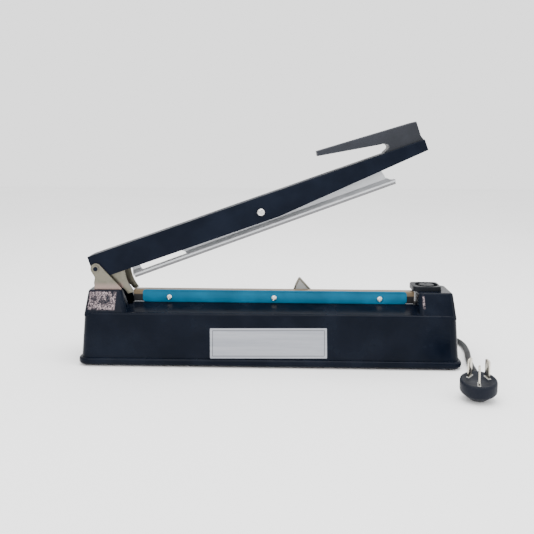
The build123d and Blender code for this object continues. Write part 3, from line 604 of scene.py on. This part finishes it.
def make_studio():
    """Plain pale floor and soft light from all round, above, the front and the right."""
    world = bpy.data.worlds.new("studio")
    world.use_nodes = True
    world.node_tree.nodes["Background"].inputs["Color"].default_value = (1.0, 1.0, 1.0, 1)
    world.node_tree.nodes["Background"].inputs["Strength"].default_value = 1.9
    bpy.context.scene.world = world
    mesh = bpy.data.meshes.new("studio_floor")
    reach, height = 3.0, -0.0003
    mesh.from_pydata([(-reach, -reach, height), (reach, -reach, height), (reach, reach, height),
                      (-reach, reach, height)], [], [(0, 1, 2, 3)])
    floor = add_object("studio_floor", mesh)
    paper, tree, surface, place = new_finish("floor_paper")
    tone = toned(tree, noise_value(tree, place, 3.0, 2.0), 0.3, 0.7, (0.93, 0.93, 0.93),
                 (0.95, 0.95, 0.95))
    connect(tree, surface, "Base Color", tone)
    connect(tree, surface, "Roughness", 0.8)
    mesh.materials.append(paper)
    lamps = [("front_box", (-0.35, -1.3, 0.9), 0.9, 9),
             ("top_box", (0.1, -0.1, 1.3), 1.0, 18),
             ("side_box", (1.2, -0.5, 0.7), 0.7, 4)]
    for name, place, size, power in lamps:
        data = bpy.data.lights.new(name, "AREA")
        data.shape = "SQUARE"
        data.size = size
        data.energy = power
        lamp = add_object(name, data)
        lamp.location = place
        aim = Vector((0, 0, 0.08)) - Vector(place)
        lamp.rotation_euler = aim.to_track_quat("-Z", "Y").to_euler()


# Shapes, in millimetres: each is a list of points and a list of faces

def angles(count):
    """Equal steps once round a circle."""
    return [2 * math.pi * i / count for i in range(count)]


def ring_faces(count, rings):
    """Faces between neighbouring rings of points."""
    faces = []
    for ring in range(rings - 1):
        low, high = ring * count, (ring + 1) * count
        for i in range(count):
            j = (i + 1) % count
            faces.append((low + i, low + j, high + j, high + i))
    return faces


def turned(profile, count=48, flutes=0, flute_depth=0.0):
    """A closed shape turned about the upright axis from (radius, height) steps, fluted if asked."""
    points = []
    for radius, height in profile:
        for angle in angles(count):
            cut = flute_depth * abs(math.sin(flutes * angle / 2)) if radius > 1 else 0.0
            points.append(((radius - cut) * math.cos(angle), (radius - cut) * math.sin(angle), height))
    return points, ring_faces(count, len(profile))


def lofted(loops):
    """A closed shape through rings of points, with a flat face on each end."""
    count = len(loops[0])
    points = [point for loop in loops for point in loop]
    ends = [tuple(range(count)), tuple(range((len(loops) - 1) * count, len(loops) * count))]
    return points, ends + ring_faces(count, len(loops))


def flat_sheet(outline, front, back):
    """An upright sheet with an (x, z) outline, between two depths."""
    return lofted([[(x, depth, z) for x, z in outline] for depth in (front, back)])


def brick(low, high):
    """A plain block between two corners."""
    return flat_sheet([(low[0], low[2]), (high[0], low[2]), (high[0], high[2]), (low[0], high[2])],
                      low[1], high[1])


def tube(path, radius, count=12):
    """A round wire along a path of points, its section carried on without twisting."""
    path = [Vector(point) for point in path]
    turn, loops = None, []
    for i, point in enumerate(path):
        along = (path[min(i + 1, len(path) - 1)] - path[max(i - 1, 0)]).normalized()
        if turn is None:
            turn = along.to_track_quat("Z", "Y").to_matrix()
        else:
            turn = turn.col[2].rotation_difference(along).to_matrix() @ turn
        loops.append([point + turn @ Vector((radius * math.cos(a), radius * math.sin(a), 0))
                      for a in angles(count)])
    return lofted(loops)


def laid(shape, matrix):
    """A shape moved by a matrix."""
    points, faces = shape
    return [matrix @ Vector(point) for point in points], faces


def together(*shapes):
    """Several shapes as one."""
    points, faces = [], []
    for more_points, more_faces in shapes:
        start = len(points)
        points += list(more_points)
        faces += [tuple(index + start for index in face) for face in more_faces]
    return points, faces


def closed_mesh(name, shape, sharp, rounding=0.0):
    """A mesh in metres with outward faces, rounded edges and crisp corners."""
    mesh = bpy.data.meshes.new(name)
    mesh.from_pydata([Vector(point) * MM for point in shape[0]], [], shape[1])
    work = bmesh.new()
    work.from_mesh(mesh)
    bmesh.ops.remove_doubles(work, verts=work.verts, dist=1e-7)
    bmesh.ops.recalc_face_normals(work, faces=work.faces)
    if rounding:
        edges = [edge for edge in work.edges
                 if len(edge.link_faces) == 2 and edge.calc_face_angle() > math.radians(sharp)]
        bmesh.ops.bevel(work, geom=edges, offset=rounding * MM, segments=2, profile=0.5,
                        affect="EDGES", clamp_overlap=True)
    work.to_mesh(mesh)
    work.free()
    mesh.shade_smooth()
    mesh.set_sharp_from_angle(angle=math.radians(sharp))
    return mesh


def piece(name, shape, slot, body="base", rounding=0.0, sharp=40):
    """A finished mesh piece in its slot's finish, riding on a body."""
    mesh = closed_mesh(name, shape, sharp, rounding)
    mesh.materials.append(MATERIALS[slot])
    made = add_object(name, mesh)
    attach(made, body)
    return made


ON_ARM = Matrix.Translation(PIVOT / MM) @ Matrix.Rotation(-OPEN_ANGLE, 4, "Y")
TO_BACK = Matrix.Rotation(math.radians(-90), 4, "X")
TO_FRONT = Matrix.Rotation(math.radians(90), 4, "X")


def node_box(name):
    """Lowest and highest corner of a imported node, in millimetres."""
    low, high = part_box(name)
    return low / MM, high / MM


def make_relief():
    """Ribbed, tapered strain relief on the rear face."""
    low, high = node_box("strain_relief")
    length = high.y - low.y
    profile = [(0, 0), (5.4, 0), (5.4, 5.0), (6.4, 5.2), (6.4, 7.4), (5.6, 7.9)]
    ribs, first_rib, rib_pitch, rib_taper, groove = 7, 8.4, 3.1, 0.2, 0.9
    for i in range(ribs):
        start, reach = first_rib + rib_pitch * i, 5.4 - rib_taper * i
        profile += [(reach - groove, start), (reach, start + 0.5), (reach, start + 1.7),
                    (reach - groove, start + 2.2)]
    profile += [(3.6, length - 0.4), (3.3, length), (0, length)]
    place = Matrix.Translation(((low.x + high.x) / 2, low.y, (low.z + high.z) / 2)) @ TO_BACK
    made = piece("ribbed_relief", laid(turned(profile), place), "rubber_black")
    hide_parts("strain_relief")
    return made


def plug_tail_shape():
    """Ribbed tail of the plug, from inside the shell out to the lead."""
    sections = [(6, 8.2, 5.4, 7.6), (12, 7.6, 5.2, 7.0), (16, 6.6, 4.8, 6.0), (18.4, 5.6, 4.5, 5.3)]
    ribs, first_rib, rib_pitch, count, floor = 4, 18.6, 2.4, 32, 0.15
    for i in range(ribs):
        start = first_rib + rib_pitch * i
        groove = (4.6 - 0.1 * i, 3.9 - 0.1 * i)
        rib = (5.4 - 0.25 * i, 4.5 - 0.2 * i)
        sections += [(start, *groove, 4.9), (start + 0.3, *rib, 4.9), (start + 1.5, *rib, 4.8),
                     (start + 1.8, *groove, 4.7)]
    sections.append((PLUG_REACH, 3.9, 3.6, TAIL_HEIGHT))
    return lofted([[(wide * math.cos(a), reach, max(floor, height + tall * math.sin(a)))
                    for a in angles(count)] for reach, wide, tall, height in sections])


def make_plug():
    """Round three-pin plug with a ribbed tail, and its pins."""
    turn = Matrix.Rotation(PLUG_TURN - math.pi / 2, 4, "Z")
    place = Matrix.Translation((*PLUG_CENTRE, PLUG_LIFT)) @ turn @ Matrix.Rotation(PLUG_TIP, 4, "X")
    shell = [(0, 0), (8.8, 0), (9.5, 0.7), (12.8, 3.5), (15.8, 6.3), (16.3, 7.2), (16.4, 8.4),
             (16.4, 15.4), (16.1, 16.6), (15.2, 17.4), (13.7, 17.5), (13.3, 17.1), (0, 17.1)]
    flat = Matrix.Translation((*PLUG_CENTRE, 0)) @ turn
    blade = [(-3.15, 16.4), (3.15, 16.4), (3.15, 33.4), (2.2, 34.6), (-2.2, 34.6), (-3.15, 33.4)]
    half_blade = 0.8
    pads, pins = [], []
    for x, y, angle in PLUG_PINS:
        stand = place @ Matrix.Translation((x, y, 0)) @ Matrix.Rotation(math.radians(angle), 4, "Z")
        pads.append(laid(brick((-1.5, -3.9, 16.8), (1.5, 3.9, 17.5)), stand))
        crossways = stand @ Matrix.Rotation(math.radians(90), 4, "Z")
        pins.append(laid(flat_sheet(blade, -half_blade, half_blade), crossways))
    body = piece("plug_shell", together(laid(turned(shell, 64), place), laid(plug_tail_shape(), flat)),
                 "plug_black", sharp=50)
    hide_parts("plug_body")
    metal_pins = piece("plug_pins", together(*pins), "brass", rounding=0.25)
    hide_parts("plug_blades")
    collars = piece("pin_collars", together(*pads), "grey_moulding", rounding=0.3)
    return [body, metal_pins, collars]


def make_bracket():
    """Plated bracket in the arm's root, with two curved toes."""
    outline = [(-3.5, -8), (-3.5, 8), (29.9, 11), (28.9, 1), (28.0, -9), (26.7, -16), (26.2, -22),
               (26.4, -27), (27.4, -32), (28.7, -36.4), (22.5, -36.4), (20.4, -31), (17.8, -26.6),
               (14.4, -22.6), (10.5, -19)]
    cheeks = [flat_sheet(outline, *depth) for depth in ((-14.0, -12.6), (12.6, 14.0))]
    bridge = flat_sheet([(6, 8.5), (29.8, 9.7), (29.9, 11), (6, 9.9)], -12.7, 12.7)
    made = piece("flared_bracket", laid(together(*cheeks, bridge), ON_ARM), "zinc", "arm",
                 rounding=0.35, sharp=30)
    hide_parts("arm_bracket")


def make_pin_ends():
    """Dark dished caps on both ends of the hinge pin."""
    profile = [(0, 0), (2.4, 0), (2.4, 0.25), (2.2, 0.4), (1.7, 0.42), (1.5, 0.25), (0, 0.25)]
    half_pin = 18.8
    for name, side, turn in (("front_pin_end", -1, TO_FRONT), ("rear_pin_end", 1, TO_BACK)):
        place = Matrix.Translation((PIVOT.x / MM, side * half_pin, PIVOT.z / MM)) @ turn
        piece(name, laid(turned(profile, 40), place), "arm_black")


def make_spring():
    """Torsion spring round the bush with a leg under the arm."""
    wire, reach, turns, steps = 0.8, 4.95, 8.5, 24
    start = -wire * turns
    leg = [(26, start, -4.4), (12, start, -4.6), (3, start, -4.95), (-2.6, start, -4.2)]
    leg += [(reach * math.cos(a), start, reach * math.sin(a))
            for a in (math.radians(-150), math.radians(-165))]
    coils = []
    for k in range(int(turns * steps) + 1):
        a = 2 * math.pi * k / steps
        coils.append((-reach * math.cos(a), start + wire * a / math.pi, reach * math.sin(a)))
    made = piece("coiled_spring", laid(tube(leg + coils, wire), ON_ARM), "bright_steel", "arm")
    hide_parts("return_spring")


def make_switch_lever():
    """Bent steel lever over its grey core."""
    outer = [(25.0, 61.9), (25.1, 70), (27.4, 76.5), (30.2, 82.2), (31.0, 83.4), (32.0, 83.8),
             (33.0, 83.3), (38.2, 77.6), (44.3, 71), (44.0, 61.9)]
    inner = [(42.6, 61.9), (42.8, 70.4), (37.2, 76.4), (32.6, 81.4), (31.8, 81.5), (31.3, 80.8),
             (28.8, 75.8), (26.7, 69.8), (26.6, 61.9)]
    bent = flat_sheet(outer + inner, 9.6, 15.6)
    stem = brick((27.0, 11.4, 45.0), (34.2, 13.8, 62.4))
    foot = brick((25.6, 9.8, 61.9), (43.6, 15.4, 63.2))
    made = piece("bent_lever", together(bent, stem, foot), "steel_dark", "switch_lever",
                 rounding=0.2, sharp=30)
    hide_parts("switch_lever")
    core = piece("lever_core", flat_sheet(inner, 10.4, 14.8), "grey_moulding", "switch_lever")
    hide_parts("switch_cam")


def rounded_outline(left, low, right, high, radius, count=8):
    """A rectangle's (x, z) outline with round corners."""
    outline = []
    for cx, cz, start in ((right - radius, high - radius, 0), (left + radius, high - radius, 90),
                          (left + radius, low + radius, 180), (right - radius, low + radius, 270)):
        for k in range(count + 1):
            a = math.radians(start + 90 * k / count)
            outline.append((cx + radius * math.cos(a), cz + radius * math.sin(a)))
    return outline


def make_strips():
    """Teal retaining strips on both sides of the bar, each with a bent upper rim."""
    below, rim_inset, rim_height = 0.4, 1.2, 1.6
    for name, side, top in (("front_strip", -1, FRONT_STRIP_TOP), ("rear_strip", 1, None)):
        low, high = node_box(name)
        top = top or high.z
        inner, outer = side * 5.8, side * STRIP_FACE
        wall = flat_sheet(rounded_outline(low.x, low.z - below, high.x, top, 3.4), inner, outer)
        edge = rounded_outline(low.x + rim_inset, top - rim_height, high.x - rim_inset, top, 0.7)
        rim = flat_sheet(edge, outer - side * 0.2, outer + side * 0.45)
        made = piece("teal_" + name, together(wall, rim), "teal_strip", rounding=0.25, sharp=50)
        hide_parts(name)


def make_tape():
    """Non-stick glass cloth stretched over the bar and held behind the strips."""
    low, high = node_box("ptfe_tape")
    length = high.x - low.x
    half_width, bottom, rise, bend = 5.72, 60.6, 11.3, 0.75
    shoulder, flat_half = 71.9, 4.97
    side = [(-half_width, bottom + rise * k / 6) for k in range(7)]
    corner = [(-half_width + bend * (1 - math.cos(a)), shoulder + bend * math.sin(a))
              for a in (math.radians(90 * k / 4) for k in range(1, 5))]
    top = [(-flat_half + 2 * flat_half * k / 10, shoulder + bend) for k in range(1, 10)]
    path = side + corner + top + [(-y, z) for y, z in reversed(side + corner)]
    reach = [0.0]
    for (y0, z0), (y1, z1) in zip(path, path[1:]):
        reach.append(reach[-1] + math.hypot(y1 - y0, z1 - z0))
    columns = 150
    work = bmesh.new()
    layer = work.loops.layers.uv.new("cut")
    grid = []
    for i in range(columns + 1):
        x = low.x + length * i / columns
        wave = 0.04 * math.sin(x * 0.21) + 0.03 * math.sin(x * 0.53 + 1.0)
        grid.append([work.verts.new(Vector((x, y, z + (wave if abs(y) < 4.9 else 0))) * MM)
                     for y, z in path])
    for i in range(columns):
        for j in range(len(path) - 1):
            face = work.faces.new((grid[i][j], grid[i + 1][j], grid[i + 1][j + 1], grid[i][j + 1]))
            for loop, (a, b) in zip(face.loops, ((i, j), (i + 1, j), (i + 1, j + 1), (i, j + 1))):
                loop[layer].uv = (length * a / columns * MM, (reach[b] - reach[-1] / 2) * MM)
    work.normal_update()
    bmesh.ops.solidify(work, geom=list(work.faces), thickness=TAPE_THICKNESS * MM)
    bmesh.ops.recalc_face_normals(work, faces=work.faces)
    mesh = bpy.data.meshes.new("seal_tape")
    work.to_mesh(mesh)
    work.free()
    mesh.shade_smooth()
    mesh.set_sharp_from_angle(angle=math.radians(50))
    mesh.materials.append(MATERIALS["ptfe"])
    made = add_object("seal_tape", mesh)
    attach(made, "base")
    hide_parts("ptfe_tape")


def make_silicone():
    """Soft pressing strip with rounded lower edges, under the press bar."""
    spots = [vertex.co / MM for vertex in frame["nodes"]["silicone_strip"].data.vertices]
    ends = []
    for edge in (min(s.x for s in spots), max(s.x for s in spots)):
        near = [s for s in spots if abs(s.x - edge) < 3]
        ends.append(sum(near, Vector()) / len(near))
    along = ends[1] - ends[0]
    turn = Matrix.Translation(ends[0]) @ Matrix.Rotation(-math.atan2(along.z, along.x), 4, "Y")
    back = turn.inverted()
    spots = [back @ s for s in spots]
    left, right = min(s.x for s in spots), max(s.x for s in spots)
    low, high = min(s.z for s in spots), max(s.z for s in spots)
    half = [(-4.5, high), (-4.5, low + 0.9), (-4.2, low + 0.35), (-3.5, low + 0.05)]
    section = half + [(0, low)] + [(-y, z) for y, z in reversed(half)]
    count = 60
    loops = [[(left + (right - left) * i / count, y, z) for y, z in section] for i in range(count + 1)]
    made = piece("soft_strip", laid(lofted(loops), turn), "silicone", "press_bar", sharp=50)
    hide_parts("silicone_strip")


def make_feet():
    """Four low rubber feet with a dished sole."""
    profile = [(0, 0.35), (3.2, 0.35), (3.8, 0.02), (6.4, 0), (6.9, 0.4), (7.0, 1.5), (0, 1.5)]
    shapes = [laid(turned(profile), Matrix.Translation((x, y, 0)))
              for x in (-170.4, 170.4) for y in (-23.4, 23.4)]
    made = piece("soft_feet", together(*shapes), "rubber_black")
    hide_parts("rubber_feet")


def soft_rectangle(left, front, right, back, height, bend=7.0):
    """A level ring of points round a rectangle with soft corners."""
    half_x, half_y = (right - left) / 2, (back - front) / 2
    loop = []
    for a in angles(DIAL_STEPS):
        across, deep = math.cos(a), math.sin(a)
        loop.append(((left + right) / 2 + half_x * math.copysign(abs(across) ** (2 / bend), across),
                     (front + back) / 2 + half_y * math.copysign(abs(deep) ** (2 / bend), deep),
                     height))
    return loop


def dial_circle(radius, height):
    """A level ring of points round the dial's centre."""
    return [(DIAL_CENTRE[0] + radius * math.cos(a), DIAL_CENTRE[1] + radius * math.sin(a), height)
            for a in angles(DIAL_STEPS)]


def make_timer():
    """Low timer moulding on the right block, with its dish, fluted knob, control and marks."""
    cx, cy = DIAL_CENTRE
    on_dial = Matrix.Translation((cx, cy, 0))
    walls = [(150.6, -12, 180.8, 16, 74.6), (150.8, -11.8, 180.6, 15.8, 79.0),
             (151.4, -11.2, 180.0, 15.2, 79.7)]
    dish = [(12.3, 79.75), (12.0, 79.5), (11.6, 76.9)]
    loops = [soft_rectangle(*wall) for wall in walls] + [dial_circle(*ring) for ring in dish]
    made = piece("timer_moulding", lofted(loops), "timer_black", sharp=35)
    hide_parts("timer_housing")
    profile = [(0, 77.0), (8.4, 77.0), (8.5, 77.6), (8.3, 79.2), (7.7, 79.8), (3.0, 79.8), (0, 79.8)]
    pointer = brick((cx - 0.5, cy + 1.5, 79.6), (cx + 0.5, cy + 7.2, 80.3))
    grip = laid(turned(profile, 96, flutes=16, flute_depth=0.35), on_dial)
    knob = piece("fluted_knob", together(grip, pointer), "timer_black", "timer_knob", sharp=35)
    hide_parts("timer_knob")
    low, high = node_box("timer_pot")
    can = brick((low.x, low.y, low.z), (high.x, high.y, 66.0))
    shaft = laid(turned([(0, 65.5), (3.0, 65.5), (3.0, 78.6), (0, 78.6)], 32), on_dial)
    pot = piece("rotary_control", together(can, shaft), "grey_moulding")
    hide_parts("timer_pot")
    marks, first_mark, mark_step = 11, -50, 28
    ticks = []
    for k in range(marks):
        stand = on_dial @ Matrix.Rotation(math.radians(first_mark + mark_step * k), 4, "Z")
        ticks.append(laid(brick((10.0, -0.2, 76.85), (11.3, 0.2, 77.05)), stand))
    piece("dial_marks", together(*ticks), "grey_moulding")


def screw_head_mesh():
    """A domed cross-head one millimetre in radius, its cross sunk into the dome."""
    count, points = 48, []
    cross_depth, cross_half, cross_end = 0.34, 0.17, 0.66
    dome = [(1.0, 0.0), (1.0, 0.12), (0.94, 0.26), (0.84, 0.38), (0.72, 0.46), (0.60, 0.51),
            (0.50, 0.54), (0.40, 0.56), (0.30, 0.575), (0.20, 0.585), (0.10, 0.59), (0.0, 0.59)]
    for radius, height in dome:
        for a in angles(count):
            x, y = radius * math.cos(a), radius * math.sin(a)
            near = min(abs(x), abs(y))
            sunk = cross_depth * step((cross_half - near) / 0.06) * step((cross_end - radius) / 0.12)
            points.append((x, y, height - sunk))
    faces = ring_faces(count, len(dome)) + [tuple(range(count))]
    return closed_mesh("cross_head", (points, faces), 45)


def screw_placing():
    """Node tree that sets one head on every point, each driven home to a different angle."""
    tree = bpy.data.node_groups.new("screw_placing", "GeometryNodeTree")
    for label, kind in (("Places", "NodeSocketGeometry"), ("Head", "NodeSocketObject"),
                        ("Facing", "NodeSocketVector"), ("Size", "NodeSocketFloat"),
                        ("Finish", "NodeSocketMaterial")):
        tree.interface.new_socket(name=label, in_out="INPUT", socket_type=kind)
    tree.interface.new_socket(name="Screws", in_out="OUTPUT", socket_type="NodeSocketGeometry")
    given = tree.nodes.new("NodeGroupInput").outputs
    out = tree.nodes.new("NodeGroupOutput")
    head = tree.nodes.new("GeometryNodeObjectInfo")
    put = tree.nodes.new("GeometryNodeInstanceOnPoints")
    angle = tree.nodes.new("FunctionNodeRandomValue")
    angle.data_type = "FLOAT"
    about = tree.nodes.new("ShaderNodeCombineXYZ")
    spin = tree.nodes.new("GeometryNodeRotateInstances")
    spin.inputs["Local Space"].default_value = True
    whole = tree.nodes.new("GeometryNodeRealizeInstances")
    finish = tree.nodes.new("GeometryNodeSetMaterial")
    for start, end in ((given["Head"], head.inputs["Object"]), (given["Places"], put.inputs["Points"]),
                       (head.outputs["Geometry"], put.inputs["Instance"]),
                       (given["Facing"], put.inputs["Rotation"]), (given["Size"], put.inputs["Scale"]),
                       (put.outputs["Instances"], spin.inputs["Instances"]),
                       (about.outputs["Vector"], spin.inputs["Rotation"]),
                       (spin.outputs["Instances"], whole.inputs["Geometry"]),
                       (whole.outputs["Geometry"], finish.inputs["Geometry"]),
                       (given["Finish"], finish.inputs["Material"]),
                       (finish.outputs["Geometry"], out.inputs["Screws"])):
        tree.links.new(start, end)
    reach = [socket for socket in angle.inputs if socket.type == "VALUE"]
    reach[0].default_value, reach[1].default_value = 0.1, 1.5
    tree.links.new([socket for socket in angle.outputs if socket.type == "VALUE"][0], about.inputs["Z"])
    return tree


SCREW_PLACING = screw_placing()
SCREW_HEAD = screw_head_mesh()


def screw_heads(name, places, facing, size):
    """Domed heads at the given places, facing one way, as one plain mesh."""
    head = add_object("head_shape", SCREW_HEAD)
    mesh = bpy.data.meshes.new(name + "_places")
    mesh.from_pydata([Vector(place) * MM for place in places], [], [])
    holder = add_object(name + "_places", mesh)
    modifier = holder.modifiers.new("placing", "NODES")
    modifier.node_group = SCREW_PLACING
    values = {"Head": head, "Facing": facing, "Size": size, "Finish": MATERIALS["bright_steel"]}
    for item in SCREW_PLACING.interface.items_tree:
        if item.item_type == "SOCKET" and item.in_out == "INPUT" and item.name in values:
            modifier[item.identifier] = values[item.name]
    graph = bpy.context.evaluated_depsgraph_get()
    graph.update()
    heads = bpy.data.meshes.new_from_object(holder.evaluated_get(graph))
    bpy.data.objects.remove(holder)
    bpy.data.objects.remove(head)
    return add_object(name, heads)


def make_strip_screws():
    """Three domed screws through each teal strip."""
    shank = turned([(0, -5), (1.5, -5), (1.5, 0.2), (0, 0.2)], 24)
    for node, side, turn in (("front_strip_screws", -1, TO_FRONT), ("rear_strip_screws", 1, TO_BACK)):
        low, high = node_box(node)
        radius = (high.z - low.z) / 2
        places = [(x, side * STRIP_FACE, (low.z + high.z) / 2)
                  for x in (low.x + radius, (low.x + high.x) / 2, high.x - radius)]
        heads = screw_heads(node + "_heads", places, (math.radians(-90 * side), 0, 0), radius)
        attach(heads, "base")
        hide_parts(node)
        shanks = [laid(shank, Matrix.Translation(place) @ turn) for place in places]
        piece(node + "_shanks", together(*shanks), "bright_steel")


def make_bar_screw():
    """Domed screw through the arm that carries the press bar."""
    spot = ON_ARM @ Vector((183.9, -15.5, -1.1))
    head_radius = 4.2
    heads = screw_heads("bar_screw_head", [spot], (math.radians(90), 0, 0), head_radius)
    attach(heads, "arm")
    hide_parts("bar_screw")
    shank = laid(turned([(0, -34.2), (1.9, -34.2), (2.0, -34.0), (2.0, 0.2), (0, 0.2)], 24),
                 Matrix.Translation(spot) @ TO_FRONT)
    piece("bar_screw_shank", shank, "bright_steel", "arm")


make_studio()
dress_nodes()
relief = make_relief()
plug = make_plug()
for make in (make_bracket, make_pin_ends, make_spring, make_switch_lever, make_strips, make_tape,
             make_silicone, make_feet, make_timer, make_strip_screws, make_bar_screw):
    make()
lead, route = make_cord(MATERIALS["cord_black"])
spline_length(lead)
